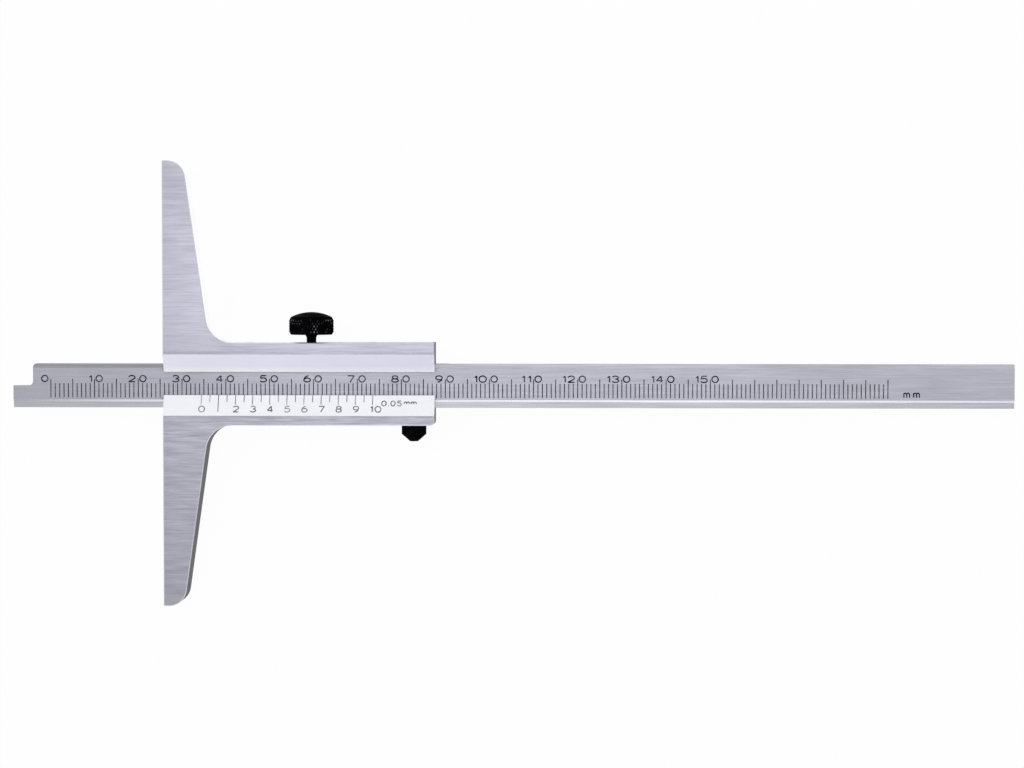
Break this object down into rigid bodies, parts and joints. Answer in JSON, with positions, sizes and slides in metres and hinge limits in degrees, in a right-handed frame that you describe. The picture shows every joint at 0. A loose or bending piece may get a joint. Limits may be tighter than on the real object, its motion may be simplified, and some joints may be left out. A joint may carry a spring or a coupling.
{
  "type": "vernier depth gauge",
  "caption": "Vernier depth gauge: a graduated flat beam slides through a body with a long tapering bridge and is held by a knurled clamp screw over a gib strip.",
  "frame": {"origin": "on the bridge's reference face, at the middle of the bridge's length and on the plane of the back", "axes": "+X along the beam from its measuring tip to its tail, so -X is the way the reference face looks and the beam comes out; +Y across the gauge towards the clamp screw; +Z out of the graduated front"},
  "size_m": [0.2271, 0.1012, 0.0102],
  "materials": {
    "satin_steel_body": "satin",
    "satin_steel_beam": "satin",
    "bronze": "satin",
    "black_oxide": "satin",
    "plain_screw_steel": "satin"
  },
  "bodies": {
    "slide": {"slide_body": "satin_steel_body", "gib_screw_left": "plain_screw_steel", "gib_screw_right": "plain_screw_steel", "stop_screw": "black_oxide"},
    "beam": {"beam": "satin_steel_beam"},
    "gib": {"gib_strip": "bronze"},
    "clamp": {"clamp_screw": "black_oxide"}
  },
  "joints": [
    {"name": "beam_slide", "type": "slide", "parent": "slide", "child": "beam", "axis": [-1, 0, 0], "range_m": [-0.0345, 0.1155]},
    {"name": "clamp_screw_turn", "type": "hinge", "parent": "gib", "child": "clamp", "pos_m": [0.0335, 0, 0.00314], "axis": [0, -1, 0], "range_deg": [0, 160]},
    {"name": "gib_press", "type": "slide", "parent": "slide", "child": "gib", "axis": [0, -1, 0], "range_m": [0, 0.0002]}
  ],
  "couplings": [
    {"joint": "clamp_screw_turn", "follows": "gib_press", "rad_per_m": 13963}
  ]
}
